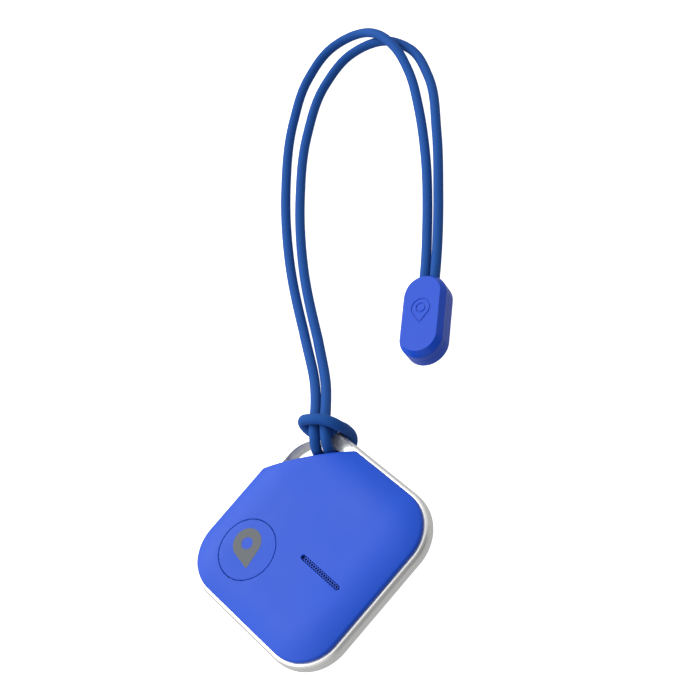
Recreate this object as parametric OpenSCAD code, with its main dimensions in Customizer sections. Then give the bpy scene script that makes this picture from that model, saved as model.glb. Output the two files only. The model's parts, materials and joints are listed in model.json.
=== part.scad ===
// Bluetooth tracker tag with a wrist lanyard hitched through its strap ring.
// The tag lies on its back on z = 0. +Z points out of its front, +Y points at the strap ring.
// The square case stands on one corner: its flats run at 45 degrees to X and Y.

/* [Case] */
// Width of the frame across its flats, at its widest line
case_side = 38; // [36:0.5:42]
// Corner radius of the frame at its widest line
case_corner_r = 9; // [8.5:0.1:10]
// Height of the metal frame between the two covers
frame_h = 3.1; // [3:0.1:3.6]
// How far the frame's side bulges beyond its flanges
frame_bulge = 0.45; // [0.2:0.05:0.6]
// Width of the front and back covers across their flats
cover_side = 36.2; // [36:0.1:36.6]
// Height of each cover's upright lip
cover_lip_h = 0.8; // [0.6:0.1:1]
// Height of each cover over the frame
cover_rise = 2.2; // [2.1:0.1:2.4]
// Width of the rounded shoulder inside the lip
cover_fall = 6; // [5:0.5:7]
// Wall thickness of the covers
cover_wall = 0.9; // [0.8:0.05:0.9]

/* [Strap ring] */
// Width of the ring's band
ring_band = 2.9; // [2.6:0.1:3.2]
// Distance from the centre to the cut edge of the covers
cut_y = 16.1; // [15.8:0.1:16.4]
// Thickness of the wall behind the strap hole
cut_wall = 1.2; // [1:0.1:1.5]

/* [Button] */
// Distance of the button from the centre, towards the left corner
button_x = -11.2; // [-11.5:0.1:-11]
// Offset of the button towards the ring
button_y = -0.25; // [-0.4:0.05:0]
// Diameter of the button's opening
button_d = 11.8; // [11.5:0.1:12.2]
// Radial gap round the button
button_gap = 0.1; // [0.05:0.01:0.15]
// How far the button travels
button_travel = 0.25; // [0.2:0.05:0.3]

/* [Sound slot] */
// Length of the slot
slot_len = 10.4; // [9:0.1:11]
// Width of the slot
slot_w = 0.95; // [0.8:0.05:1.2]
// Diameter of each sound hole
sound_hole_d = 0.42; // [0.3:0.02:0.46]
// Distance between sound holes
sound_hole_pitch = 0.57; // [0.55:0.01:0.7]
// Diameter of the piezo plate
piezo_d = 12; // [11:0.5:12]

/* [Battery] */
// Diameter of the coin cell
cell_d = 20; // [20:0.1:20.1]
// Height of the coin cell
cell_h = 3.2; // [3.1:0.1:3.2]
// Diameter of the battery door
door_d = 23.8; // [23.6:0.1:24]
// Thickness of the battery door
door_t = 0.8; // [0.7:0.05:0.85]
// Angle that the door turns to open
door_turn = 40; // [38:1:42]

/* [Cord and bead] */
// Diameter of the cord
cord_d = 2; // [1.6:0.1:2]
// Length of the bead
bead_len = 17.5; // [16:0.5:19]
// Width of the bead
bead_w = 8.75; // [8:0.25:10]
// Thickness of the bead
bead_t = 5; // [4.8:0.1:5.2]
// Width of the chamfer round the bead's front
bead_chamfer = 0.8; // [0.4:0.1:1]
// Depth of that chamfer
bead_chamfer_h = 1.25; // [0.8:0.05:1.4]
// Chamfer round the bead's back
bead_back_chamfer = 0.4; // [0.2:0.1:0.6]

/* [Hidden] */
$fn = 64;

// Heights
back_z = 0;
frame_z0 = back_z + cover_rise;
frame_z1 = frame_z0 + frame_h;
front_z = frame_z1 + cover_rise;
inner_front_z = front_z - cover_wall;
inner_back_z = back_z + cover_wall;
bond_t = 0.1;
cell_z = back_z + door_t + 0.1;
board_t = 0.5;
board_z = cell_z + cell_h + 0.35;
board_top = board_z + board_t;

// Plan of the case
half = case_side / 2;
corner_core = half - case_corner_r;
cover_half = cover_side / 2;
cover_r = cover_half - corner_core;
shell_half = cover_half - cover_wall;
ring_half = half - ring_band;
pocket_half = 16.9;
shoulder_steps = 8;
bulge_steps = 8;
far = 60;

// Places, along the case's own flats
button_at = [(button_x - button_y) / sqrt(2), (button_x + button_y) / sqrt(2)];
slot_at = [7.35, -2.4];
piezo_at = [7, -2.4];
can_at = [1, 9];
crystal_at = [8.6, 7.2];
antenna_at = [12.2, 6.5];
door_at = [0, -1];

// Button and switch
cap_r = button_d / 2 - button_gap;
cap_bottom = inner_front_z - 0.15;
flange_h = 0.35;
flange_bottom = cap_bottom - flange_h;
plunger_top = 5.95;
nub_bottom = plunger_top + 0.02;
switch_side = 3.6;
well_r = 1.25;
well_z = board_top + 0.15;
plunger_z = well_z + 0.3;
switch_top = board_top + 0.6;

// Sound
grille_t = 0.3;
mesh_t = 0.1;
grille_len = slot_len + 0.8;
grille_w = slot_w + 0.85;
sound_rows = 3;
row_step = 0.48;
gasket_t = 0.4;
piezo_t = 0.12;
piezo_z = inner_front_z - gasket_t - piezo_t;
ceramic_z = piezo_z - piezo_t;
ceramic_d = 8.5;

// Battery door: a flange in a recess of the back cover, and a collar with lugs behind the recess's ledge
door_gap = 0.1;
flange_t = 0.45;
ledge_z = 0.5;
seal_r = 11.5;
seal_w = 0.3;
seal_z = 0.3;
lug_angle = 24;
lug_z0 = inner_back_z + 0.08;
lug_h = 0.5;
lug_r = 11.2;
collar_r = 10.75;
collar_wall = 0.5;

// Cord and bead
cord_r = cord_d / 2;
cord_sides = 8;
bead_at = [21.92, 42.8];
bead_tilt = -6;
strand_x = 1.05;
parting_z = bead_t / 2;
crimp_size = [4.6, 2.5, 2.5];
crimp_y = 6.4;

// Route of the cord's centre line: from the bead, over the arch and down to the strap ring, once round the
// ring's band, round both strands, round the band again, and back over the arch to the bead.
route = [
    [21.32, 47.5, 2.5], [21.87, 52.4, 2.45], [22, 64, 1.2], [21.9, 80, 1], [20.5, 94, 1],
    [18.6, 104, 1.8], [16, 110.4, 2.9], [12.3, 115, 3.1], [7, 118, 1.8], [0.4, 116.9, 1.1],
    [-5, 110.4, 1], [-8.3, 99.6, 1], [-9.5, 82, 1], [-8, 64, 1], [-4.1, 46, 1.1],
    [-0.65, 33.6, 3], [1.05, 26.7, 5.9], [2, 22.2, 8.2], [2.2, 19.6, 8.5], [1.8, 17.8, 6.8],
    [1.5, 17.4, 4.4], [1.6, 17.8, 2.3], [2.7, 19.2, 1.1], [4.1, 21, 1], [5.1, 22.2, 1.5],
    [5.5, 22.6, 3.1], [5.5, 22.5, 4.8], [5, 21.3, 6.35], [3.9, 20.4, 6.4], [1.9, 20.8, 6.4],
    [0.4, 21.6, 6.9], [-0.1, 22.4, 8.3], [0.6, 22.4, 9.7], [2.1, 22, 10.35], [4.4, 21.5, 10.4],
    [6.3, 20.9, 9.6], [7, 20.7, 8.2], [7.25, 20.95, 6.5], [7.2, 21.2, 4.8], [7.15, 21.15, 3.1],
    [6.6, 20.6, 1.4], [5.7, 19.2, 1], [4.5, 17.7, 1.1], [3.85, 17.15, 2.7], [3.9, 17.35, 5.4],
    [4.3, 18.5, 7.9], [4.3, 20.4, 8.45], [4, 23, 7.75], [3.15, 27, 5.8], [1.65, 33.1, 3],
    [-1, 43.6, 1.1], [-4.8, 61.5, 1], [-6.1, 79, 1], [-4.9, 95.2, 1], [-1, 107.2, 1],
    [5, 113.7, 1], [12, 114.9, 1], [18.6, 110.6, 1], [22.7, 101.8, 1], [24.3, 87, 1],
    [24.4, 70, 1], [23.97, 52.1, 2.45], [23.42, 47.3, 2.5],
];
route_end = len(route) - 1;
short_span = 1.6;
ring_spacing = 9;

function unit(v) = v / norm(v);

// Direction of the route at point i: the two spans beside it, each weighted by the other's length
function heading(i) =
    i == 0 ? unit(route[1] - route[0])
    : i == route_end ? unit(route[route_end] - route[route_end - 1])
    : unit(
        unit(route[i] - route[i - 1]) * norm(route[i + 1] - route[i])
        + unit(route[i + 1] - route[i]) * norm(route[i] - route[i - 1])
    );

// Point at fraction t of span i, on a cubic curve through the route, never below the surface
function along(i, t) =
    let (
        reach = norm(route[i + 1] - route[i]),
        p = (2 * t * t * t - 3 * t * t + 1) * route[i]
            + (t * t * t - 2 * t * t + t) * reach * heading(i)
            + (3 * t * t - 2 * t * t * t) * route[i + 1]
            + (t * t * t - t * t) * reach * heading(i + 1)
    )
    [p[0], p[1], max(p[2], cord_r)];

function rings_in(i) =
    let (reach = norm(route[i + 1] - route[i]))
    reach > short_span ? max(2, ceil(reach / ring_spacing)) : 1;

cord_centres = concat(
    [for (i = [0 : route_end - 1]) for (k = [0 : rings_in(i) - 1]) along(i, k / rings_in(i))],
    [route[route_end]]
);
ring_count = len(cord_centres);

function ring_axis(j) =
    unit(cord_centres[min(j + 1, ring_count - 1)] - cord_centres[max(j - 1, 0)]);

// A sideways direction carried from ring to ring without twisting
function carried(side, axis) = unit(side - (side * axis) * axis);
function side_dirs(j, side) =
    j == ring_count ? []
    : let (next = carried(side, ring_axis(j)))
    concat([next], side_dirs(j + 1, next));
ring_sides = side_dirs(0, [1, 0, 0]);

function ring_points(j) =
    let (
        u = ring_sides[j],
        v = cross(ring_axis(j), u)
    )
    [for (k = [0 : cord_sides - 1])
        cord_centres[j]
        + cord_r * (cos(360 * k / cord_sides) * u + sin(360 * k / cord_sides) * v)];

// ---------- shared shapes ----------

// Turns its children so that their X and Y run along the case's flats
module on_flats() {
    rotate([0, 0, -45]) children();
}

// Everything on the case's side of the cut edge, less a wall
module behind_cut(wall = 0) {
    translate([-far, -far, -far]) cube([2 * far, far + cut_y - wall, 2 * far]);
}

// A rounded square slab whose edge follows a list of [inset, height], from the bottom up
module pebble(half_side, corner_r, edge) {
    core = half_side - corner_r;
    top = edge[len(edge) - 1][1];
    bottom = edge[0][1];
    outline = concat([[0, bottom]], [for (e = edge) [corner_r - e[0], e[1]]], [[0, top]]);
    translate([-core, -core, bottom]) cube([2 * core, 2 * core, top - bottom]);
    for (turn = [0 : 90 : 270])
        rotate([0, 0, turn]) {
            translate([core, core, 0]) rotate_extrude(angle = 90) polygon(outline);
            translate([core, 0, 0]) rotate([90, 0, 0])
                linear_extrude(2 * core, center = true) polygon(outline);
        }
}

// A rounded square prism on the case's flats
module prism(half_side, z0, z1) {
    on_flats() pebble(half_side, half_side - corner_core, [[0, z0], [0, z1]]);
}

function shoulder(z_from, z_to, fall) = [
    for (k = [0 : shoulder_steps])
        let (u = k / shoulder_steps)
        [fall * u, z_from + (z_to - z_from) * (1 - (1 - u) * (1 - u))]
];

function flipped(edge) = [for (k = [len(edge) - 1 : -1 : 0]) edge[k]];

// Outer and inner shapes of a cover, before the cut; dir is 1 for the front and -1 for the back
module cover_outer(dir) {
    seat = dir > 0 ? frame_z1 + bond_t : frame_z0 - bond_t;
    face = dir > 0 ? front_z : back_z;
    lip = dir > 0 ? frame_z1 + cover_lip_h : frame_z0 - cover_lip_h;
    edge = concat([[0, seat]], shoulder(lip, face, cover_fall));
    on_flats() pebble(cover_half, cover_r, dir > 0 ? edge : flipped(edge));
}

module cover_inner(dir) {
    inner_fall = 4;
    seat = dir > 0 ? frame_z1 : frame_z0;
    face = dir > 0 ? inner_front_z : inner_back_z;
    lip = dir > 0 ? face - 0.7 : face + 0.7;
    edge = concat([[0, seat]], shoulder(lip, face, inner_fall));
    intersection() {
        on_flats() pebble(shell_half, cover_r - cover_wall, dir > 0 ? edge : flipped(edge));
        behind_cut(cover_wall);
    }
}

module cover_shell(dir) {
    difference() {
        intersection() {
            cover_outer(dir);
            behind_cut();
        }
        cover_inner(dir);
    }
}

// A flat bar with round ends, along X
module slot_bar(length, width, z0, z1) {
    reach = (length - width) / 2;
    translate([0, 0, z0]) linear_extrude(z1 - z0) {
        square([2 * reach, width], center = true);
        for (s = [-1, 1]) translate([s * reach, 0]) circle(d = width);
    }
}

// A ring sector: inner and outer radius, heights, and its centre angle and width
module sector(r0, r1, z0, z1, middle, width) {
    rotate([0, 0, middle - width / 2])
        rotate_extrude(angle = width) translate([r0, z0]) square([r1 - r0, z1 - z0]);
}

module disc(r, z0, z1) {
    translate([0, 0, z0]) cylinder(r = r, h = z1 - z0);
}

module washer(r0, r1, z0, z1) {
    difference() {
        disc(r1, z0, z1);
        disc(r0, z0 - 1, z1 + 1);
    }
}

// A box centred in plan, from z0 to z1
module pad(size, z0, z1) {
    translate([-size[0] / 2, -size[1] / 2, z0]) cube([size[0], size[1], z1 - z0]);
}

// A map pin, the plain sign for a place: round head with a hole, and a point below it
module pin_sign(head_r, hole_r, tail) {
    tangent_x = head_r * sqrt(1 - pow(head_r / tail, 2));
    tangent_y = -head_r * head_r / tail;
    difference() {
        union() {
            circle(r = head_r);
            polygon([[-tangent_x, tangent_y], [0, -tail], [tangent_x, tangent_y]]);
        }
        circle(r = hole_r);
    }
}

// ---------- case ----------

module back_cover() {
    color([0.2, 0.34, 0.85])
        difference() {
            union() {
                cover_shell(-1);
                translate(door_at) door_stops();
            }
            translate(door_at) {
                disc(door_d / 2 + door_gap, -1, ledge_z);
                disc(collar_r + door_gap, -1, front_z);
                for (k = [0 : 2])
                    sector(collar_r - 1, lug_r + door_gap, -1, inner_back_z + 0.01, 90 + 120 * k + door_turn,
                        lug_angle + 4);
            }
        }
}

// Ribs that the door's lugs meet when it is shut and when it is open
module door_stops() {
    for (k = [0 : 2])
        for (a = [-lug_angle / 2 - 3, door_turn + lug_angle / 2 + 3])
            sector(collar_r + 0.2, lug_r + 0.3, inner_back_z - 0.1, lug_z0 + lug_h, 90 + 120 * k + a, 4);
}

module frame() {
    color([0.86, 0.87, 0.88])
        difference() {
            on_flats() pebble(half, case_corner_r, [
                for (k = [0 : bulge_steps])
                    let (u = 2 * k / bulge_steps - 1)
                    [frame_bulge * u * u, frame_z0 + frame_h * (u + 1) / 2]
            ]);
            intersection() {
                prism(pocket_half, frame_z0 - 1, frame_z1 + 1);
                behind_cut(cut_wall);
            }
            difference() {
                prism(ring_half, frame_z0 - 1, frame_z1 + 1);
                behind_cut();
            }
        }
}

module front_cover() {
    color([0.2, 0.34, 0.85])
        difference() {
            cover_shell(1);
            on_flats() {
                translate([button_at[0], button_at[1], 0]) disc(button_d / 2, inner_front_z - 2, front_z + 1);
                translate([slot_at[0], slot_at[1], 0]) {
                    slot_bar(slot_len, slot_w, inner_front_z - 1, front_z + 1);
                    slot_bar(grille_len + 0.1, grille_w + 0.1, inner_front_z - 1,
                        inner_front_z + mesh_t + grille_t);
                }
            }
        }
}

module bond_ring(z0) {
    inset = 0.15;
    difference() {
        intersection() {
            prism(cover_half - inset, z0, z0 + bond_t);
            behind_cut(inset);
        }
        intersection() {
            prism(shell_half + inset, z0 - 1, z0 + 1);
            behind_cut(cover_wall - inset);
        }
    }
}

module front_bond() {
    color([0.15, 0.15, 0.16]) bond_ring(frame_z1);
}

module back_bond() {
    color([0.15, 0.15, 0.16]) bond_ring(frame_z0 - bond_t);
}

// ---------- battery door ----------

module battery_door() {
    coin_slot = [9, 1.3, 0.4];
    color([0.2, 0.34, 0.85])
        translate(door_at) difference() {
            union() {
                disc(door_d / 2, back_z, flange_t);
                disc(collar_r, back_z, door_t);
                washer(collar_r - collar_wall, collar_r, door_t - 0.1, lug_z0 + lug_h);
                for (k = [0 : 2])
                    sector(collar_r - 0.3, lug_r, lug_z0, lug_z0 + lug_h, 90 + 120 * k, lug_angle);
            }
            washer(seal_r - seal_w / 2, seal_r + seal_w / 2, seal_z, door_t);
            rotate([0, 0, 30]) slot_bar(coin_slot[0], coin_slot[1], -1, coin_slot[2]);
        }
}

module door_seal() {
    color([0.1, 0.1, 0.1])
        translate(door_at) washer(seal_r - seal_w / 2, seal_r + seal_w / 2, seal_z, ledge_z - 0.01);
}

// ---------- button ----------

module button_cap() {
    color([0.2, 0.34, 0.85]) {
        intersection() {
            cover_outer(1);
            on_flats() translate([button_at[0], button_at[1], 0]) disc(cap_r, cap_bottom, front_z + 1);
        }
        on_flats() translate([button_at[0], button_at[1], 0]) {
            disc(cap_r + 0.35, flange_bottom, cap_bottom);
            disc(1.2, nub_bottom, flange_bottom);
        }
    }
}

module button_mark() {
    ink_t = 0.02;
    color([0.45, 0.47, 0.5])
        translate([button_x, button_y, front_z])
            translate([0, 1.2, 0]) linear_extrude(ink_t) pin_sign(2.9, 1.15, 4.9);
}

module button_pad() {
    color([0.75, 0.75, 0.78])
        on_flats() translate([button_at[0], button_at[1], 0])
            washer(cap_r - 1, cap_r + 0.1, board_top, flange_bottom);
}

// ---------- sound ----------

module sound_grille() {
    per_row = floor((slot_len - sound_hole_d) / sound_hole_pitch);
    z0 = inner_front_z + mesh_t;
    color([0.1, 0.16, 0.45])
        on_flats() translate([slot_at[0], slot_at[1], 0])
            difference() {
                slot_bar(grille_len, grille_w, z0, z0 + grille_t);
                translate([0, 0, z0 - 1]) linear_extrude(grille_t + 2)
                    for (row = [0 : sound_rows - 1])
                        for (k = [0 : per_row - (row == 1 ? 0 : 1)])
                            translate([
                                (k - (per_row - (row == 1 ? 0 : 1)) / 2) * sound_hole_pitch,
                                (row - 1) * row_step
                            ])
                                circle(d = sound_hole_d);
            }
}

module acoustic_mesh() {
    color([0.05, 0.05, 0.06])
        on_flats() translate([slot_at[0], slot_at[1], 0])
            slot_bar(grille_len, grille_w, inner_front_z, inner_front_z + mesh_t);
}

module on_piezo() {
    on_flats() translate([piezo_at[0], piezo_at[1], 0]) children();
}

module piezo_gasket() {
    color([0.12, 0.12, 0.12])
        on_piezo() washer(piezo_d / 2 - 0.5, piezo_d / 2 + 0.15, inner_front_z - gasket_t, inner_front_z);
}

module piezo_plate() {
    color([0.78, 0.62, 0.28]) on_piezo() disc(piezo_d / 2, piezo_z, piezo_z + piezo_t);
}

module piezo_ceramic() {
    color([0.9, 0.88, 0.82]) on_piezo() disc(ceramic_d / 2, ceramic_z, ceramic_z + piezo_t);
}

// Two leaf springs: one meets the ceramic, the other the brass rim
module piezo_springs() {
    leaf = [2.4, 0.6];
    leaf_t = 0.1;
    color([0.85, 0.75, 0.4])
        on_piezo() for (spot = [[0, 0, ceramic_z], [-5.6, 0, piezo_z]])
            translate([spot[0], spot[1], 0]) {
                pad(leaf, spot[2] - leaf_t, spot[2]);
                translate([leaf[0] / 2 - leaf_t / 2, 0, 0])
                    pad([leaf_t, leaf[1]], board_top, spot[2] - leaf_t);
                translate([leaf[0] / 2, 0, 0]) pad([leaf[0] / 2, leaf[1]], board_top, board_top + leaf_t);
            }
}

// ---------- chassis and board ----------

stakes = [[12.9, -12.9], [-13.2, 5.5]];
stake_r = 0.6;

module chassis() {
    chassis_z = inner_back_z + 1;
    color([0.16, 0.16, 0.17]) {
        difference() {
            intersection() {
                prism(pocket_half - 0.25, chassis_z, board_z);
                behind_cut(cut_wall + 0.25);
            }
            translate(door_at) {
                disc(cell_d / 2 + 0.2, chassis_z - 1, board_z + 1);
                rotate([0, 0, 180]) translate([cell_d / 2 + 0.4, 0, 0]) pad([2.4, 3.4], chassis_z - 1, board_z + 1);
            }
        }
        on_flats() for (s = stakes) translate([s[0], s[1], 0]) disc(stake_r, board_z - 0.2, board_top + 0.35);
    }
}

module circuit_board() {
    color([0.05, 0.3, 0.16])
        difference() {
            intersection() {
                prism(pocket_half - 0.6, board_z, board_top);
                behind_cut(cut_wall + 0.7);
            }
            on_flats() for (s = stakes) translate([s[0], s[1], 0]) disc(stake_r + 0.1, board_z - 1, board_top + 1);
        }
}

module insulating_film() {
    film_t = 0.08;
    color([0.85, 0.65, 0.2])
        translate(door_at) washer(5.5, 9, board_z - film_t, board_z);
}

module radio_chip() {
    color([0.08, 0.08, 0.09])
        on_flats() translate([can_at[0], can_at[1], 0]) pad([5, 5], board_top, board_top + 0.75);
}

module shield_can() {
    can_size = [9, 7];
    can_h = 1.15;
    sheet = 0.15;
    color([0.75, 0.76, 0.78])
        on_flats() translate([can_at[0], can_at[1], 0])
            difference() {
                pad(can_size, board_top, board_top + can_h);
                pad([can_size[0] - 2 * sheet, can_size[1] - 2 * sheet], board_top - 1, board_top + can_h - sheet);
            }
}

module crystal() {
    color([0.8, 0.8, 0.78])
        on_flats() translate([crystal_at[0], crystal_at[1], 0]) pad([2, 1.6], board_top, board_top + 0.5);
}

module antenna() {
    color([0.93, 0.92, 0.88])
        on_flats() translate([antenna_at[0], antenna_at[1], 0]) pad([1.6, 5], board_top, board_top + 0.6);
}

// Two rows of small capacitors and resistors beside the shield can
module passives() {
    part_size = [0.5, 1];
    color([0.6, 0.5, 0.35])
        on_flats() for (row = [0 : 1]) for (k = [0 : 4])
            translate([-5.6 - 1.5 * row, 4 + 1.5 * k, 0]) pad(part_size, board_top, board_top + 0.35);
}

// ---------- switch ----------

module on_switch() {
    on_flats() translate([button_at[0], button_at[1], 0]) children();
}

module switch_body() {
    color([0.15, 0.15, 0.15])
        on_switch() difference() {
            pad([switch_side, switch_side - 0.6], board_top, switch_top);
            disc(well_r, well_z, switch_top + 1);
        }
}

module switch_dome() {
    color([0.8, 0.8, 0.82])
        on_switch() rotate_extrude()
            polygon([[0, plunger_z - 0.08], [0.4, plunger_z - 0.08], [1.15, well_z], [1.15, well_z + 0.08],
                [0.4, plunger_z], [0, plunger_z]]);
}

module switch_plunger() {
    color([0.85, 0.85, 0.85]) on_switch() disc(0.85, plunger_z, plunger_top);
}

// ---------- coin cell ----------

module cell_can() {
    wall = 0.25;
    color([0.78, 0.78, 0.8])
        translate(door_at) rotate_extrude()
            polygon([[0, cell_z], [cell_d / 2, cell_z], [cell_d / 2, cell_z + cell_h - 0.4],
                [cell_d / 2 - 0.5, cell_z + cell_h - 0.15], [cell_d / 2 - 0.6, cell_z + cell_h - 0.35],
                [cell_d / 2 - wall, cell_z + cell_h - 0.6], [cell_d / 2 - wall, cell_z + wall],
                [0, cell_z + wall]]);
}

module cell_gasket() {
    color([0.9, 0.9, 0.85])
        translate(door_at) washer(cell_d / 2 - 1, cell_d / 2 - 0.3, cell_z + 0.3, cell_z + cell_h - 0.65);
}

module cell_cap() {
    wall = 0.25;
    rim_r = cell_d / 2 - 1.05;
    color([0.8, 0.8, 0.82])
        translate(door_at) rotate_extrude()
            polygon([[0, cell_z + cell_h - wall], [rim_r - wall, cell_z + cell_h - wall],
                [rim_r - wall, cell_z + 0.8], [rim_r, cell_z + 0.8], [rim_r, cell_z + cell_h], [0, cell_z + cell_h]]);
}

module cell_cathode() {
    color([0.12, 0.12, 0.13]) translate(door_at) disc(cell_d / 2 - 1.4, cell_z + 0.3, cell_z + 1.9);
}

module cell_anode() {
    color([0.7, 0.7, 0.72]) translate(door_at) disc(cell_d / 2 - 1.9, cell_z + 2, cell_z + cell_h - 0.3);
}

// ---------- battery contacts ----------

// A bent strip in the chassis that presses on the side of the cell
module contact_positive() {
    sheet = 0.15;
    color([0.85, 0.75, 0.4])
        translate(door_at) rotate([0, 0, 180]) {
            translate([cell_d / 2 + sheet / 2 + 0.02, 0, 0]) pad([sheet, 2.4], board_z - 2, board_z - sheet);
            translate([cell_d / 2 + 0.02, -1.2, board_z - sheet]) cube([1.4, 2.4, sheet]);
        }
}

// A leaf with three arms that presses on the cell's cap
module contact_negative() {
    sheet = 0.12;
    cap_top = cell_z + cell_h;
    color([0.85, 0.75, 0.4])
        translate(door_at) {
            disc(1.6, board_z - sheet, board_z);
            for (k = [0 : 2]) rotate([0, 0, 120 * k]) {
                translate([2.6, 0, 0]) pad([3, 1], board_z - sheet, board_z);
                translate([4, 0, 0]) pad([0.4, 1], cap_top, board_z - sheet);
            }
        }
}

// ---------- cord and bead ----------

module cord() {
    color([0.13, 0.3, 0.66])
        polyhedron(
            points = [for (j = [0 : ring_count - 1]) each ring_points(j)],
            faces = concat(
                [[for (k = [cord_sides - 1 : -1 : 0]) k]],
                [for (j = [0 : ring_count - 2]) for (k = [0 : cord_sides - 1])
                    let (a = j * cord_sides, b = a + cord_sides, n = (k + 1) % cord_sides)
                    each [[a + k, a + n, b + n], [a + k, b + n, b + k]]],
                [[for (k = [0 : cord_sides - 1]) (ring_count - 1) * cord_sides + k]]
            )
        );
}

module in_bead() {
    translate([bead_at[0], bead_at[1], 0]) rotate([0, 0, bead_tilt]) children();
}

// A stadium-shaped slab along Y with chamfers at its bottom and top
module bead_slab() {
    r = bead_w / 2;
    reach = bead_len - bead_w;
    edge = [
        [0, 0], [r - bead_back_chamfer, 0], [r, bead_back_chamfer],
        [r, bead_t - bead_chamfer_h], [r - bead_chamfer, bead_t], [0, bead_t]
    ];
    for (turn = [0, 180])
        rotate([0, 0, turn]) {
            translate([0, reach / 2, 0]) rotate_extrude(angle = 180) polygon(edge);
            rotate([90, 0, 0]) linear_extrude(reach, center = true) polygon(edge);
        }
}

// What is hollow inside the bead: two channels for the strands and a pocket for the crimp
module bead_hollow() {
    pocket = [crimp_size[0] + 0.2, crimp_size[1] + 1.3, crimp_size[2] + 0.2];
    for (s = [-1, 1])
        translate([s * strand_x, crimp_y, parting_z]) rotate([-90, 0, 0])
            cylinder(r = cord_r + 0.12, h = bead_len);
    translate([-pocket[0] / 2, crimp_y - crimp_size[1] / 2 - 1.2, parting_z - pocket[2] / 2]) cube(pocket);
}

module bead_half(z0, z1) {
    difference() {
        intersection() {
            bead_slab();
            translate([-far, -far, z0]) cube([2 * far, 2 * far, z1 - z0]);
        }
        bead_hollow();
    }
}

module bead_front() {
    mark_depth = 0.15;
    color([0.2, 0.34, 0.85])
        in_bead() difference() {
            bead_half(parting_z, bead_t);
            translate([0, 1.2, bead_t - mark_depth]) linear_extrude(1) difference() {
                pin_sign(2, 0.75, 3.4);
                pin_sign(1.7, 1.05, 2.9);
            }
        }
}

module bead_back() {
    color([0.2, 0.34, 0.85]) in_bead() bead_half(0, parting_z);
}

module cord_crimp() {
    color([0.75, 0.75, 0.76])
        in_bead() difference() {
            translate([-crimp_size[0] / 2, crimp_y - crimp_size[1] / 2, parting_z - crimp_size[2] / 2])
                cube(crimp_size);
            for (s = [-1, 1])
                translate([s * strand_x, 0, parting_z]) rotate([-90, 0, 0])
                    cylinder(r = cord_r + 0.04, h = bead_len);
        }
}

back_cover();
frame();
front_cover();
front_bond();
back_bond();
battery_door();
door_seal();
button_cap();
button_mark();
button_pad();
sound_grille();
acoustic_mesh();
piezo_gasket();
piezo_plate();
piezo_ceramic();
piezo_springs();
chassis();
circuit_board();
insulating_film();
radio_chip();
shield_can();
crystal();
antenna();
passives();
switch_body();
switch_dome();
switch_plunger();
cell_can();
cell_gasket();
cell_cap();
cell_cathode();
cell_anode();
contact_positive();
contact_negative();
cord();
cord_crimp();
bead_front();
bead_back();
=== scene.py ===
"""Looks of a bluetooth tracker tag with a hitched lanyard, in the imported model's own frame."""

import json
import math

import bmesh
import bpy
from mathutils import Matrix, Vector


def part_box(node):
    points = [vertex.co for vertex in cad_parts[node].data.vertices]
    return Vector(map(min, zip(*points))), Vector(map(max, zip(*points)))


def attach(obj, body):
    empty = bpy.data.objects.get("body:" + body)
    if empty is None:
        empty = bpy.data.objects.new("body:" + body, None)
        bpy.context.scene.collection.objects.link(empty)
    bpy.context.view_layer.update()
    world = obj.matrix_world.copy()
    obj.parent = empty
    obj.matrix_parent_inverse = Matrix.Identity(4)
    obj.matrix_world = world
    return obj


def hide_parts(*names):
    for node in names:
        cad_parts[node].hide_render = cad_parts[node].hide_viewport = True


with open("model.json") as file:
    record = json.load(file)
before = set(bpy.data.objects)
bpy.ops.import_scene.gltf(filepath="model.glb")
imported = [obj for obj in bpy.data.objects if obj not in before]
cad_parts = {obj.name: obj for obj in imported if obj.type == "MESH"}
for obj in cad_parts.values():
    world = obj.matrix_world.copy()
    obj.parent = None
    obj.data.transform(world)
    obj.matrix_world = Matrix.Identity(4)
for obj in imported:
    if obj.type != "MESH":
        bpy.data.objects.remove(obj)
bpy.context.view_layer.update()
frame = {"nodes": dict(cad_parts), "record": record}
nodes = frame["nodes"]
scene = bpy.context.scene
MM = 0.001

# ---------- sizes in millimetres, as the frame has them ----------

FRAME_LOW, FRAME_HIGH = (corner / MM for corner in map(Vector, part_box("frame")))
FRAME_Z0, FRAME_Z1 = FRAME_LOW.z, FRAME_HIGH.z
FRONT_Z = Vector(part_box("front_cover")[1]).z / MM
BACK_Z = Vector(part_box("back_cover")[0]).z / MM

CASE_HALF = 19.0
CASE_CORNER_R = 9.0
CORNER_CORE = CASE_HALF - CASE_CORNER_R
FRAME_BULGE = 0.45
RING_HALF = 16.1
POCKET_HALF = 16.9
CUT_Y = 16.1
POCKET_Y = 14.9

COVER_HALF = 18.1
COVER_WALL = 0.9
LIP_H = 0.8
FRONT_FALL = 7.9
BACK_FALL = 6.0
LIP_ROUND = 0.32
DOME_RISE = FRONT_Z - FRAME_Z1 - LIP_H
CAVITY_INSET = COVER_WALL + 1.2
CAP_UNDERSIDE = FRAME_Z1 + 0.8

BUTTON_AT = (-11.2, -0.25)
BUTTON_HOLE_R = 5.9
BUTTON_R = 5.8
SLOT_AT = (7.35, -2.4)
SLOT_LEN = 10.4
SLOT_W = 0.95

DOOR_AT = (0.0, -1.0)
DOOR_R = 11.9
DOOR_GAP = 0.1
DOOR_FLANGE = 0.45
DOOR_RECESS = 0.5
COLLAR_R = 10.75
COLLAR_WALL = 0.5
DOOR_TOP = Vector(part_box("battery_door")[1]).z / MM
DOOR_FLOOR = 0.8
COIN_SLOT_LEN, COIN_SLOT_W, COIN_SLOT_DEPTH = 9.0, 1.3, 0.4
COIN_SLOT_TURN = math.radians(30)

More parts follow.
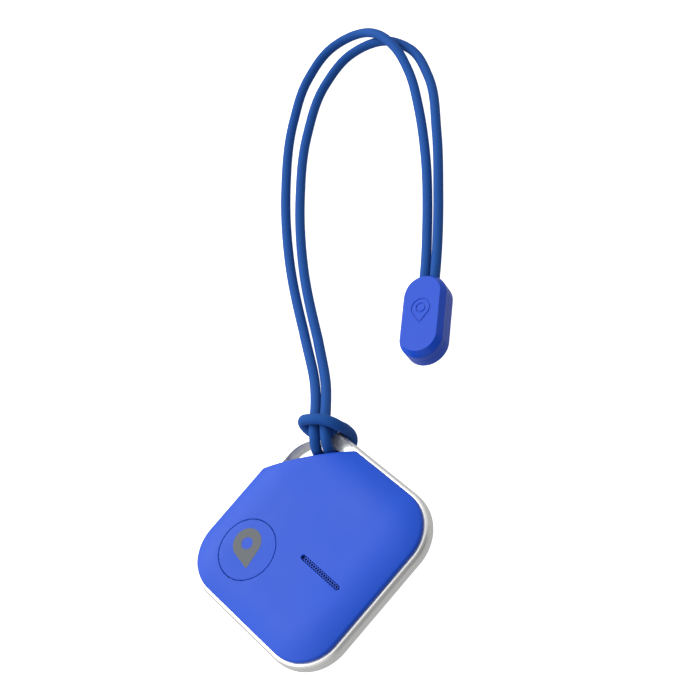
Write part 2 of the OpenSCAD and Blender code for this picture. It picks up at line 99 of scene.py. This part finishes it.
CORD_R = 1.0
BEAD_AT = (21.92, 42.8)
BEAD_TILT = math.radians(-6)
BEAD_LEN = 17.5
BEAD_W = 8.75
BEAD_T = Vector(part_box("bead_front")[1]).z / MM
PARTING_Z = BEAD_T / 2
STRAND_X = 1.05
BEAD_CHAMFER = 0.8
BEAD_CHAMFER_H = 1.25
BEAD_BACK_CHAMFER = 0.4
CHANNEL_START = 4.0
MARK_Y = 1.2
MARK_DEPTH = 0.15

DEEP = 40.0


# ---------- camera ----------

def make_camera():
    right = Vector((0.91020746, 0.01175864, -0.41384313))
    up = Vector((0.19556885, 0.86877831, 0.45481993))
    back = right.cross(up)
    turn = Matrix((right, up, back)).transposed().to_4x4()
    data = bpy.data.cameras.new("photo_camera")
    data.lens = 82.61
    data.sensor_width = 36
    data.clip_start = 0.01
    camera = bpy.data.objects.new("photo_camera", data)
    camera.matrix_world = Matrix.Translation(Vector((118.054, -111.812, 243.803)) * MM) @ turn
    scene.collection.objects.link(camera)
    scene.camera = camera


make_camera()
scene.view_settings.view_transform = "Standard"


# ---------- material tools ----------

class Nodes:
    """A short way to build a procedural material."""

    def __init__(self, name, **base):
        self.material = bpy.data.materials.new(name)
        self.material.use_nodes = True
        self.tree = self.material.node_tree
        self.shader = self.tree.nodes["Principled BSDF"]
        for socket, value in base.items():
            self.shader.inputs[socket.replace("_", " ")].default_value = value
        self.place = self.add("ShaderNodeTexCoord").outputs["Object"]

    def add(self, kind, links=None, **values):
        node = self.tree.nodes.new(kind)
        for name, value in values.items():
            setattr(node, name, value)
        for socket, source in (links or {}).items():
            self.feed(node.inputs[socket], source)
        return node

    def feed(self, socket, source):
        if isinstance(source, bpy.types.NodeSocket):
            self.tree.links.new(source, socket)
        else:
            socket.default_value = source

    def noise(self, scale, detail=2.0, rough=0.5, stretch=None):
        place = self.place
        if stretch:
            place = self.add("ShaderNodeMapping", {"Vector": place, "Scale": stretch}).outputs[0]
        return self.add(
            "ShaderNodeTexNoise", {"Vector": place, "Scale": scale, "Detail": detail, "Roughness": rough}
        ).outputs["Fac"]

    def math(self, kind, a, b=0.0):
        return self.add("ShaderNodeMath", {0: a, 1: b}, operation=kind).outputs[0]

    def spread(self, value, low, high, from_low=0.0, from_high=1.0):
        return self.add(
            "ShaderNodeMapRange",
            {"Value": value, "From Min": from_low, "From Max": from_high, "To Min": low, "To Max": high},
        ).outputs[0]

    def blend(self, factor, a, b):
        mix = self.add("ShaderNodeMix", data_type="RGBA")
        self.feed(mix.inputs[0], factor)
        self.feed(mix.inputs[6], a)
        self.feed(mix.inputs[7], b)
        return mix.outputs[2]

    def bump(self, height, strength, distance):
        links = {"Height": height, "Strength": strength, "Distance": distance}
        return self.add("ShaderNodeBump", links).outputs[0]

    def surface(self, color=None, rough=None, normal=None):
        for socket, source in (("Base Color", color), ("Roughness", rough), ("Normal", normal)):
            if source is not None:
                self.feed(self.shader.inputs[socket], source)
        return self.material


def rgba(r, g, b):
    return (r, g, b, 1.0)


def soft_touch(name, color, roughness=0.42):
    """Fine-grained satin plastic, with a faint unevenness where hands have polished it."""
    m = Nodes(name, Specular_IOR_Level=0.27)
    tone = m.noise(55, 3)
    tint = m.blend(m.spread(tone, 0.0, 1.0, 0.3, 0.7), rgba(*[c * 0.93 for c in color]), rgba(*color))
    rough = m.spread(m.noise(120, 4), roughness - 0.05, roughness + 0.05, 0.3, 0.7)
    grain = m.noise(6500, 2, 0.6)
    return m.surface(tint, rough, m.bump(grain, 0.12, 0.00002))


def polished_metal(name, color, roughness, metallic=1.0):
    """Polished plated metal with faint buffing lines and a few fine scratches."""
    m = Nodes(name, Metallic=metallic)
    buff = m.noise(900, 2, 0.5, (0.15, 0.15, 6))
    rough = m.spread(buff, roughness * 0.7, roughness * 1.5, 0.3, 0.7)
    scratches = m.noise(260, 6, 0.8, (0.3, 4, 1))
    fine = m.spread(scratches, 0.0, 1.0, 0.62, 0.75)
    tint = m.blend(m.math("MULTIPLY", fine, 0.12), rgba(*color), rgba(*[c * 0.8 for c in color]))
    return m.surface(tint, rough, m.bump(m.math("ADD", fine, buff), 0.02, 0.00001))


# ---------- cord ----------

# The cord's route in metres: from the bead, over the arch and down to the strap ring, twice round
# the ring's band in a cow hitch, and back over the arch to the bead.
CORD_ROUTE = [
    (0.02132, 0.0475, 0.0025), (0.02187, 0.0524, 0.00245), (0.022, 0.064, 0.0012), (0.0219, 0.08, 0.001),
    (0.0205, 0.094, 0.001), (0.0186, 0.104, 0.0018), (0.016, 0.1104, 0.0029), (0.0123, 0.115, 0.0031),
    (0.007, 0.118, 0.0018), (0.0004, 0.1169, 0.0011), (-0.005, 0.1104, 0.001), (-0.0083, 0.0996, 0.001),
    (-0.0095, 0.082, 0.001), (-0.008, 0.064, 0.001), (-0.0041, 0.046, 0.0011), (-0.00065, 0.0336, 0.003),
    (0.00105, 0.0267, 0.0059), (0.002, 0.0222, 0.0082), (0.0022, 0.0196, 0.0085), (0.0018, 0.0178, 0.0068),
    (0.0015, 0.0174, 0.0044), (0.0016, 0.0178, 0.0023), (0.0027, 0.0192, 0.0011), (0.0041, 0.021, 0.001),
    (0.0051, 0.0222, 0.0015), (0.0055, 0.0226, 0.0031), (0.0055, 0.0225, 0.0048), (0.005, 0.0213, 0.00635),
    (0.0039, 0.0204, 0.0064), (0.0019, 0.0208, 0.0064), (0.0004, 0.0216, 0.0069),
    (-0.0001, 0.0224, 0.0083), (0.0006, 0.0224, 0.0097), (0.0021, 0.022, 0.01035),
    (0.0044, 0.0215, 0.0104), (0.0063, 0.0209, 0.0096), (0.007, 0.0207, 0.0082),
    (0.00725, 0.02095, 0.0065), (0.0072, 0.0212, 0.0048), (0.00715, 0.02115, 0.0031),
    (0.0066, 0.0206, 0.0014), (0.0057, 0.0192, 0.001), (0.0045, 0.0177, 0.0011),
    (0.00385, 0.01715, 0.0027), (0.0039, 0.01735, 0.0054), (0.0043, 0.0185, 0.0079),
    (0.0043, 0.0204, 0.00845), (0.004, 0.023, 0.00775), (0.00315, 0.027, 0.0058), (0.00165, 0.0331, 0.003),
    (-0.001, 0.0436, 0.0011), (-0.0048, 0.0615, 0.001), (-0.0061, 0.079, 0.001), (-0.0049, 0.0952, 0.001),
    (-0.001, 0.1072, 0.001), (0.005, 0.1137, 0.001), (0.012, 0.1149, 0.001), (0.0186, 0.1106, 0.001),
    (0.0227, 0.1018, 0.001), (0.0243, 0.087, 0.001), (0.0244, 0.07, 0.001), (0.02397, 0.0521, 0.00245),
    (0.02342, 0.0473, 0.0025),
]


def cord_heading(points, i):
    """Direction at point i: the two spans beside it, each weighted by the other's length."""
    if i == 0:
        return (points[1] - points[0]).normalized()
    if i == len(points) - 1:
        return (points[-1] - points[-2]).normalized()
    before = points[i] - points[i - 1]
    after = points[i + 1] - points[i]
    return (before.normalized() * after.length + after.normalized() * before.length).normalized()


def cord_path(step):
    """Points along the smooth curve through the route, about a step apart, never below the surface."""
    points = [Vector(p) for p in CORD_ROUTE]
    path = []
    for i, (start, end) in enumerate(zip(points, points[1:])):
        reach = (end - start).length
        pull = cord_heading(points, i) * reach
        push = cord_heading(points, i + 1) * reach
        count = max(3, math.ceil(reach / step))
        for k in range(count):
            t = k / count
            p = (
                start * (2 * t**3 - 3 * t**2 + 1)
                + pull * (t**3 - 2 * t**2 + t)
                + end * (3 * t**2 - 2 * t**3)
                + push * (t**3 - t**2)
            )
            p.z = max(p.z, CORD_R * MM)
            path.append(p)
    path.append(points[-1])
    return path


def tube(name, path, radius, sides):
    """A tube along a path, with UVs in turns round it and in metres along it."""
    bm = bmesh.new()
    uv = bm.loops.layers.uv.new("UVMap")
    rings, lengths = [], [0.0]
    side = Vector((1, 0, 0))
    for j, point in enumerate(path):
        axis = (path[min(j + 1, len(path) - 1)] - path[max(j - 1, 0)]).normalized()
        side = (side - axis * side.dot(axis)).normalized()
        up = axis.cross(side)
        if j:
            lengths.append(lengths[-1] + (point - path[j - 1]).length)
        ring = []
        for k in range(sides):
            a = 2 * math.pi * k / sides
            ring.append(bm.verts.new(point + (side * math.cos(a) + up * math.sin(a)) * radius))
        rings.append(ring)
    for j in range(len(rings) - 1):
        for k in range(sides):
            n = (k + 1) % sides
            face = bm.faces.new((rings[j][k], rings[j][n], rings[j + 1][n], rings[j + 1][k]))
            face.smooth = True
            for loop, (u, v) in zip(face.loops, ((k, j), (k + 1, j), (k + 1, j + 1), (k, j + 1))):
                loop[uv].uv = (u / sides, lengths[v])
    bm.faces.new(reversed(rings[0]))
    bm.faces.new(rings[-1])
    return finish_mesh(name, bm)


def finish_mesh(name, bm):
    bmesh.ops.recalc_face_normals(bm, faces=bm.faces)
    mesh = bpy.data.meshes.new(name)
    bm.to_mesh(mesh)
    bm.free()
    made = bpy.data.objects.new(name, mesh)
    scene.collection.objects.link(made)
    return made


def braided_cord(name, color):
    """A tightly braided cord: two sets of yarns wind opposite ways round it, with painted shade in the
    grooves between them.
    """
    yarns = 10
    pitch = 0.0052
    m = Nodes(name, Specular_IOR_Level=0.15, Sheen_Weight=0.05, Sheen_Roughness=0.5)
    m.shader.inputs["Sheen Tint"].default_value = rgba(0.3, 0.45, 1.0)
    uv = m.add("ShaderNodeSeparateXYZ", {0: m.add("ShaderNodeTexCoord").outputs["UV"]})
    turns = m.math("MULTIPLY", uv.outputs["X"], float(yarns))
    along = m.math("MULTIPLY", uv.outputs["Y"], yarns / pitch)
    left = m.math("ADD", turns, along)
    right = m.math("SUBTRACT", turns, along)
    ridge_l = m.math("ABSOLUTE", m.math("SINE", m.math("MULTIPLY", left, math.pi)))
    ridge_r = m.math("ABSOLUTE", m.math("SINE", m.math("MULTIPLY", right, math.pi)))
    weave = m.math("MAXIMUM", ridge_l, m.math("MULTIPLY", ridge_r, 0.92))
    fibre = m.noise(9000, 2, 0.6)
    height = m.math("ADD", weave, m.math("MULTIPLY", fibre, 0.25))
    # Painted shade: the tint is darker where the weave is low, in the grooves between the yarns.
    tone = m.spread(weave, 0.0, 1.0, 0.3, 0.9)
    tint = m.blend(tone, rgba(*[c * 0.72 for c in color]), rgba(*color))
    return m.surface(tint, 0.72, m.bump(height, 0.35, 0.00006))


def make_cord():
    path = cord_path(0.0005)
    cord = tube("cord_braided", path, CORD_R * MM, 20)
    cord.data.materials.append(braided_cord("cord_blue_braid", (0.008, 0.068, 0.29)))
    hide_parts("cord")
    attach(cord, "case")
    return cord, path


cord, cord_line = make_cord()


# ---------- solid shapes ----------

def to_frame(d1, d2, z):
    """A point given along the case's own flats, in metres in the frame."""
    s = math.sqrt(0.5)
    return Vector(((d1 + d2) * s, (d2 - d1) * s, z)) * MM


def rounded_square(half, corner_r, per_corner=28, per_side=14):
    """Points round a rounded square, counterclockwise."""
    core = half - corner_r
    points = []
    for quarter in range(4):
        turn = quarter * math.pi / 2
        c, s = math.cos(turn), math.sin(turn)
        for k in range(per_corner + 1):
            a = math.pi / 2 * k / per_corner
            x, y = core + corner_r * math.cos(a), core + corner_r * math.sin(a)
            points.append((x * c - y * s, x * s + y * c))
        for k in range(1, per_side):
            x, y = core - 2 * core * k / per_side, half
            points.append((x * c - y * s, x * s + y * c))
    return points


def circle_points(radius, count=128, at=(0.0, 0.0)):
    turns = [2 * math.pi * k / count for k in range(count)]
    return [(at[0] + radius * math.cos(a), at[1] + radius * math.sin(a)) for a in turns]


def stadium(length, width, per_end=24):
    """Points round a slot shape with its long axis along x, counterclockwise."""
    r = width / 2
    reach = length / 2 - r
    points = []
    for end, start in ((reach, -math.pi / 2), (-reach, math.pi / 2)):
        for k in range(per_end + 1):
            a = start + math.pi * k / per_end
            points.append((end + r * math.cos(a), r * math.sin(a)))
    return points


def loft(name, rings):
    """A closed solid from rings of the same number of points, from the bottom up."""
    bm = bmesh.new()
    made = [[bm.verts.new(p) for p in ring] for ring in rings]
    for low, high in zip(made, made[1:]):
        for k in range(len(low)):
            n = (k + 1) % len(low)
            bm.faces.new((low[k], low[n], high[n], high[k]))
    bm.faces.new(reversed(made[0]))
    bm.faces.new(made[-1])
    return finish_mesh(name, bm)


def pebble(name, half, corner_r, edge):
    """A rounded square slab on the case's flats; its edge follows (inset, height) pairs upward."""
    rings = [
        [to_frame(x, y, z) for x, y in rounded_square(half - t, corner_r - t)]
        for t, z in edge
    ]
    return loft(name, rings)


def prism(name, outline, z0, z1, place=None):
    """A straight prism over an outline; place turns (x, y, z) in millimetres into a point of the frame."""
    place = place or (lambda x, y, z: Vector((x, y, z)) * MM)
    return loft(name, [[place(x, y, z) for x, y in outline] for z in (z0, z1)])


def turned(name, profile, at):
    """A solid of revolution about Z from (radius, height) pairs that start and end near the axis."""
    rings = [[Vector((x, y, z)) * MM for x, y in circle_points(r, 160, at)] for r, z in profile]
    return loft(name, rings)


def box_solid(name, low, high):
    outline = [(low[0], low[1]), (high[0], low[1]), (high[0], high[1]), (low[0], high[1])]
    return prism(name, outline, low[2], high[2])


def carve(target, tool, how="DIFFERENCE"):
    """Cuts target with tool, keeps the result as its mesh and removes the tool."""
    modifier = target.modifiers.new("cut", "BOOLEAN")
    modifier.operation = how
    modifier.solver = "EXACT"
    modifier.object = tool
    bake(target)
    bpy.data.objects.remove(tool)


def bake(target):
    """Turns the object's modifiers into its mesh."""
    shown = target.evaluated_get(bpy.context.evaluated_depsgraph_get())
    mesh = bpy.data.meshes.new_from_object(shown)
    target.modifiers.clear()
    target.data = mesh


def soften(target, width, segments=3):
    """Rounds the sharp edges by a real moulded or ground radius, and shades the rest smoothly."""
    bm = bmesh.new()
    bm.from_mesh(target.data)
    bmesh.ops.remove_doubles(bm, verts=bm.verts, dist=0.004 * MM)
    bmesh.ops.dissolve_degenerate(bm, edges=bm.edges, dist=0.002 * MM)
    bm.to_mesh(target.data)
    bm.free()
    bevel = target.modifiers.new("edges", "BEVEL")
    bevel.width = width * MM
    bevel.segments = segments
    bevel.limit_method = "ANGLE"
    bevel.angle_limit = math.radians(32)
    bevel.use_clamp_overlap = False
    bevel.loop_slide = False
    bake(target)
    for polygon in target.data.polygons:
        polygon.use_smooth = True
    weighted = target.modifiers.new("normals", "WEIGHTED_NORMAL")
    weighted.weight = 50
    weighted.keep_sharp = False
    bake(target)


def finished(target, material, node, body="case"):
    """The piece takes its material and stands for its CAD node."""
    target.data.materials.clear()
    target.data.materials.append(material)
    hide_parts(node)
    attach(target, body)
    return target


# ---------- case ----------

def cover_edge(front):
    """(inset, height) pairs up a cover's edge: upright lip, small round, then the shoulder to the flat."""
    fall, power = (FRONT_FALL, 2.65) if front else (BACK_FALL, 2)

    def dome(t):
        return LIP_H + DOME_RISE * (1 - max(0.0, 1 - t / fall) ** power)

    seat = FRAME_Z1 + 0.02 if front else FRAME_Z0 - 0.02
    up = 1 if front else -1
    base = FRAME_Z1 if front else FRAME_Z0
    edge = [(0.0, seat)]
    steps = 6
    for k in range(steps + 1):
        u = k / steps
        t = LIP_ROUND * u * u
        z = (LIP_H - LIP_ROUND) * (1 - u) ** 2 + 2 * u * (1 - u) * LIP_H + dome(LIP_ROUND) * u * u
        edge.append((t, base + up * z))
    count = 24
    for k in range(1, count + 1):
        t = LIP_ROUND + (fall - LIP_ROUND) * k / count
        edge.append((t, base + up * dome(t)))
    return edge if front else edge[::-1]


def cover_blank(name, front):
    """The outer shape of a cover, cut straight at the strap ring."""
    blank = pebble(name, COVER_HALF, COVER_HALF - CORNER_CORE, cover_edge(front))
    carve(blank, box_solid("knife", (-DEEP, CUT_Y, -DEEP), (DEEP, DEEP, DEEP)))
    return blank


def cavity(front):
    """The hollow inside a cover."""
    half = COVER_HALF - CAVITY_INSET
    z0, z1 = (FRAME_Z1 - 1, FRONT_Z - COVER_WALL) if front else (BACK_Z + COVER_WALL, FRAME_Z0 + 1)
    hollow = pebble("hollow", half, half - CORNER_CORE, [(0, z0), (0, z1)])
    carve(hollow, box_solid("knife", (-DEEP, CUT_Y - COVER_WALL, -DEEP), (DEEP, DEEP, DEEP)))
    return hollow


def make_front_cover(material):
    cover = cover_blank("front_cover_shell", True)
    carve(cover, cavity(True))
    hole = circle_points(BUTTON_HOLE_R, at=BUTTON_AT)
    carve(cover, prism("hole", hole, FRAME_Z1, FRONT_Z + 1))
    slot = [(SLOT_AT[0] + x, SLOT_AT[1] + y) for x, y in stadium(SLOT_LEN, SLOT_W)]
    carve(cover, prism("slot", slot, FRAME_Z1, FRONT_Z + 1, to_frame))
    soften(cover, 0.09)
    return finished(cover, material, "front_cover")


def make_button(material):
    cap = cover_blank("button_cap_disc", True)
    disc = circle_points(BUTTON_R, at=BUTTON_AT)
    carve(cap, prism("keep", disc, CAP_UNDERSIDE, FRONT_Z + 1), "INTERSECT")
    soften(cap, 0.09)
    return finished(cap, material, "button_cap", "button")


def make_frame(material):
    steps = 20
    crown, land = 0.07, 0.3
    middle = (FRAME_Z0 + FRAME_Z1) / 2
    reach = (FRAME_Z1 - FRAME_Z0) / 2 - crown
    edge = [(FRAME_BULGE + land, FRAME_Z0)]
    for k in range(steps + 1):
        u = 2 * k / steps - 1
        edge.append((FRAME_BULGE * abs(u) ** 3, middle + reach * u))
    edge.append((FRAME_BULGE + land, FRAME_Z1))
    ring = pebble("frame_ring", CASE_HALF, CASE_CORNER_R, edge)
    through = [(0, FRAME_Z0 - 1), (0, FRAME_Z1 + 1)]
    hole = pebble("hole", RING_HALF, RING_HALF - CORNER_CORE, through)
    carve(hole, box_solid("keep", (-DEEP, CUT_Y, -DEEP), (DEEP, DEEP, DEEP)), "INTERSECT")
    carve(ring, hole)
    pocket = pebble("pocket", POCKET_HALF, POCKET_HALF - CORNER_CORE, through)
    carve(pocket, box_solid("keep", (-DEEP, -DEEP, -DEEP), (DEEP, POCKET_Y, DEEP)), "INTERSECT")
    carve(ring, pocket)
    soften(ring, 0.12, 4)
    return finished(ring, material, "frame")


def make_back_cover(material):
    cover = cover_blank("back_cover_shell", False)
    carve(cover, cavity(False))
    recess = circle_points(DOOR_R + DOOR_GAP, at=DOOR_AT)
    carve(cover, prism("recess", recess, BACK_Z - 1, DOOR_RECESS))
    opening = circle_points(COLLAR_R + DOOR_GAP, at=DOOR_AT)
    carve(cover, prism("opening", opening, BACK_Z - 1, FRAME_Z0 + 1))
    soften(cover, 0.07)
    return finished(cover, material, "back_cover")


def make_battery_door(material):
    axis_r = 0.02
    collar_in = COLLAR_R - COLLAR_WALL
    profile = [
        (axis_r, BACK_Z), (DOOR_R, BACK_Z), (DOOR_R, DOOR_FLANGE), (COLLAR_R, DOOR_FLANGE),
        (COLLAR_R, DOOR_TOP), (collar_in, DOOR_TOP), (collar_in, DOOR_FLOOR), (axis_r, DOOR_FLOOR),
    ]
    door = turned("battery_door_disc", profile, DOOR_AT)
    c, s = math.cos(COIN_SLOT_TURN), math.sin(COIN_SLOT_TURN)
    outline = stadium(COIN_SLOT_LEN, COIN_SLOT_W)
    slot = [(DOOR_AT[0] + x * c - y * s, DOOR_AT[1] + x * s + y * c) for x, y in outline]
    carve(door, prism("slot", slot, BACK_Z - 1, COIN_SLOT_DEPTH))
    soften(door, 0.06)
    return finished(door, material, "battery_door", "door")


# ---------- bead ----------

def in_bead(x, y, z):
    """A point given in the bead's own directions, in metres in the frame."""
    c, s = math.cos(BEAD_TILT), math.sin(BEAD_TILT)
    return Vector((BEAD_AT[0] + x * c - y * s, BEAD_AT[1] + x * s + y * c, z)) * MM


def bead_blank(name):
    side_top = BEAD_T - BEAD_CHAMFER_H
    rings = []
    for t, z in ((BEAD_BACK_CHAMFER, 0), (0, BEAD_BACK_CHAMFER), (0, side_top), (BEAD_CHAMFER, BEAD_T)):
        outline = stadium(BEAD_LEN - 2 * t, BEAD_W - 2 * t, 40)
        rings.append([in_bead(-y, x, z) for x, y in outline])
    return loft(name, rings)


def pin_outline(head_r, tail, count=40):
    """A map pin's outline: a round head and a point below it, counterclockwise."""
    start = math.acos(head_r / tail) - math.pi / 2
    span = 2 * math.pi - 2 * math.acos(head_r / tail)
    points = [(head_r * math.cos(start + span * k / count), head_r * math.sin(start + span * k / count))
              for k in range(count + 1)]
    return points + [(0.0, -tail)]


def engrave_pin(shell):
    """Cuts a generic map pin into the bead's face: its outline, and a ring for its eye."""
    floor = BEAD_T - MARK_DEPTH
    head = (0, MARK_Y)
    outer, inner = ([(x, y + MARK_Y) for x, y in pin_outline(*size)] for size in ((2.0, 3.4), (1.7, 2.9)))
    eye, pupil = circle_points(1.05, 40, head), circle_points(0.75, 32, head)
    for outside, inside in ((outer, inner), (eye, pupil)):
        groove = prism("groove", outside, floor, BEAD_T + 1, in_bead)
        carve(groove, prism("island", inside, floor - 1, BEAD_T + 2, in_bead))
        carve(shell, groove)


def make_bead(material):
    for name, node, z0, z1 in (
        ("bead_front_shell", "bead_front", PARTING_Z, BEAD_T + 1),
        ("bead_back_shell", "bead_back", -1, PARTING_Z),
    ):
        shell = bead_blank(name)
        carve(shell, box_solid("keep", (-DEEP, 0, z0), (DEEP, 2 * DEEP, z1)), "INTERSECT")
        for side in (-1, 1):
            channel = circle_points(CORD_R + 0.12, 48)
            rings = [
                [in_bead(side * STRAND_X + x, y, PARTING_Z + z) for x, z in channel]
                for y in (CHANNEL_START, BEAD_LEN)
            ]
            carve(shell, loft("channel", rings))
        if node == "bead_front":
            engrave_pin(shell)
        soften(shell, 0.05)
        finished(shell, material, node)


case_blue = soft_touch("cover_soft_touch", (0.0035, 0.062, 0.5))
bead_blue = soft_touch("bead_satin", (0.003, 0.056, 0.49), 0.34)
frame_metal = polished_metal("frame_polished", (0.77, 0.77, 0.75), 0.27, 0.7)

make_front_cover(case_blue)
make_button(case_blue)
make_frame(frame_metal)
make_back_cover(case_blue)
make_battery_door(case_blue)
make_bead(bead_blue)


# ---------- CAD nodes that stay, each with a material of its own ----------

def printed_ink(name, color):
    m = Nodes(name, Specular_IOR_Level=0.3)
    speck = m.noise(4000, 3, 0.7)
    tint = m.blend(m.spread(speck, 0.0, 1.0, 0.55, 0.8), rgba(*[c * 0.8 for c in color]), rgba(*color))
    return m.surface(tint, 0.55, m.bump(speck, 0.2, 0.00001))


def moulded(name, color):
    m = Nodes(name)
    fine = m.noise(3000, 3, 0.6)
    tint = m.blend(fine, rgba(*[c * 0.85 for c in color]), rgba(*[min(1, c * 1.1) for c in color]))
    rough = m.spread(fine, 0.45, 0.65)
    return m.surface(tint, rough, m.bump(fine, 0.15, 0.00002))


def rolled_metal(name, color):
    m = Nodes(name, Metallic=1.0)
    lines = m.noise(700, 4, 0.6, (0.06, 8, 1))
    tint = m.blend(lines, rgba(*[c * 0.85 for c in color]), rgba(*color))
    return m.surface(tint, m.spread(lines, 0.17, 0.35), m.bump(lines, 0.15, 0.00001))


def woven_mesh(name, color):
    m = Nodes(name)
    threads = {"Vector": m.place, "Scale": 900.0}
    warp, weft = (m.add("ShaderNodeTexWave", threads, bands_direction=way).outputs["Fac"] for way in "XY")
    weave = m.math("MULTIPLY", warp, weft)
    tint = m.blend(weave, rgba(*[c * 0.3 for c in color]), rgba(*color))
    return m.surface(tint, 0.8, m.bump(weave, 0.6, 0.00005))


def circuit(name, color):
    """Solder mask over copper tracks."""
    m = Nodes(name, Coat_Weight=0.3)
    layout = {"Vector": m.place, "Scale": 500.0, "Mortar Size": 0.06}
    tracks = m.add("ShaderNodeTexBrick", layout).outputs["Fac"]
    tint = m.blend(tracks, rgba(*color), rgba(*[min(1, c * 1.7) for c in color]))
    return m.surface(tint, 0.35, m.bump(tracks, 0.3, 0.00003))


def kept_materials():
    color = {entry["slot"]: entry["base_color"][:3] for entry in frame["record"]["materials"]}
    metals = ("brass", "spring_gold", "can_steel", "cell_steel", "crimp_metal")
    made = {}
    for name, tint in color.items():
        if name in metals:
            made[name] = rolled_metal(name + "_rolled", tint)
        elif name == "board_green":
            made[name] = circuit(name + "_mask", tint)
        elif name == "mesh_black":
            made[name] = woven_mesh(name + "_weave", tint)
        elif name == "print_grey":
            made[name] = printed_ink(name + "_ink", [0.65 * c for c in tint])
        elif name == "grille_blue":
            made[name] = polished_metal(name + "_lacquer", tint, 0.35)
        else:
            made[name] = moulded(name + "_moulded", tint)
    return made


def dress_kept_nodes():
    made = kept_materials()
    slots = {entry["node"]: entry["material_slot"] for entry in frame["record"]["subparts"]}
    for name, node in nodes.items():
        for holder in node.material_slots:
            holder.material = made[slots[name]]


dress_kept_nodes()


# ---------- studio ----------

TABLE_GLOW, TABLE_LIGHT = 1.0, 0.6
ROOM_LOW, ROOM_HIGH = 0.92, 0.86
LIGHT_SIDE, LIGHT_LEVEL = (-0.7, 0.1, 0.7), 1.3
CARD_SIDE, CARD_LEVEL = (0.9, -0.45, 0.2), 0.26


def make_floor():
    """A glass light table: white where the camera sees its top, and clear to light and from below."""
    bm = bmesh.new()
    bmesh.ops.create_grid(bm, x_segments=8, y_segments=8, size=2.0)
    floor = finish_mesh("studio_floor", bm)
    floor.location.z = -0.02 * MM
    m = Nodes("floor_white", Specular_IOR_Level=0.1)
    tint = m.blend(m.noise(3, 2), rgba(0.64, 0.64, 0.64), rgba(0.66, 0.66, 0.66))
    m.shader.inputs["Emission Color"].default_value = rgba(1.0, 1.0, 1.0)
    seen = m.add("ShaderNodeLightPath").outputs["Is Camera Ray"]
    m.feed(m.shader.inputs["Emission Strength"], m.math("MULTIPLY", seen, TABLE_GLOW))
    clear = m.add("ShaderNodeBsdfTransparent").outputs[0]
    below = m.add("ShaderNodeNewGeometry").outputs["Backfacing"]
    hidden = m.math("MAXIMUM", below, m.math("SUBTRACT", 1.0, seen))
    sides = m.add("ShaderNodeMixShader", {0: hidden, 1: m.shader.outputs[0], 2: clear})
    m.feed(m.tree.nodes["Material Output"].inputs["Surface"], sides.outputs[0])
    floor.data.materials.append(m.surface(tint, 0.8))


def make_softbox(name, direction, distance, size, power, aim=(0.0, 0.03, 0.0)):
    data = bpy.data.lights.new(name, "AREA")
    data.shape = "SQUARE"
    data.size = size
    data.energy = power
    light = bpy.data.objects.new(name, data)
    aim = Vector(aim)
    light.location = aim + Vector(direction).normalized() * distance
    light.rotation_euler = (aim - light.location).to_track_quat("-Z", "Y").to_euler()
    scene.collection.objects.link(light)


def make_world():
    """A white room with a large soft light on the left, a dark card on the right and a dimmer floor."""
    world = bpy.data.worlds.new("studio")
    world.use_nodes = True
    scene.world = world
    tree = world.node_tree
    place = tree.nodes.new("ShaderNodeTexCoord").outputs["Generated"]

    def toward(direction, low, high):
        """0 to 1 as the angle to a direction falls, by its cosine."""
        dot = tree.nodes.new("ShaderNodeVectorMath")
        dot.operation = "DOT_PRODUCT"
        tree.links.new(place, dot.inputs[0])
        dot.inputs[1].default_value = Vector(direction).normalized()
        ease = tree.nodes.new("ShaderNodeMapRange")
        ease.interpolation_type = "SMOOTHSTEP"
        tree.links.new(dot.outputs["Value"], ease.inputs["Value"])
        ease.inputs["From Min"].default_value = low
        ease.inputs["From Max"].default_value = high
        return ease.outputs[0]

    def scaled(value, low, high):
        spread = tree.nodes.new("ShaderNodeMapRange")
        tree.links.new(value, spread.inputs["Value"])
        spread.inputs["To Min"].default_value = low
        spread.inputs["To Max"].default_value = high
        return spread.outputs[0]

    def joined(kind, a, b):
        node = tree.nodes.new("ShaderNodeMath")
        node.operation = kind
        tree.links.new(a, node.inputs[0])
        tree.links.new(b, node.inputs[1])
        return node.outputs[0]

    room = scaled(toward((0, 0, 1), -0.1, 1.0), ROOM_LOW, ROOM_HIGH)
    light = scaled(toward(LIGHT_SIDE, 0.58, 0.85), 0.0, LIGHT_LEVEL)
    card = scaled(toward(CARD_SIDE, 0.6, 0.95), 1.0, CARD_LEVEL)
    table = scaled(toward((0, 0, 1), -0.06, 0.0), TABLE_LIGHT, 1.0)
    level = joined("ADD", joined("MULTIPLY", joined("MULTIPLY", room, table), card), light)
    seen = tree.nodes.new("ShaderNodeLightPath").outputs["Is Camera Ray"]
    mix = tree.nodes.new("ShaderNodeMix")
    mix.data_type = "RGBA"
    tree.links.new(seen, mix.inputs[0])
    tree.links.new(level, mix.inputs[6])
    mix.inputs[7].default_value = (1, 1, 1, 1)
    tree.links.new(mix.outputs[2], tree.nodes["Background"].inputs["Color"])


make_floor()
make_softbox("key", (-0.7, 0.4, 0.75), 0.5, 0.35, 0.75)
make_world()
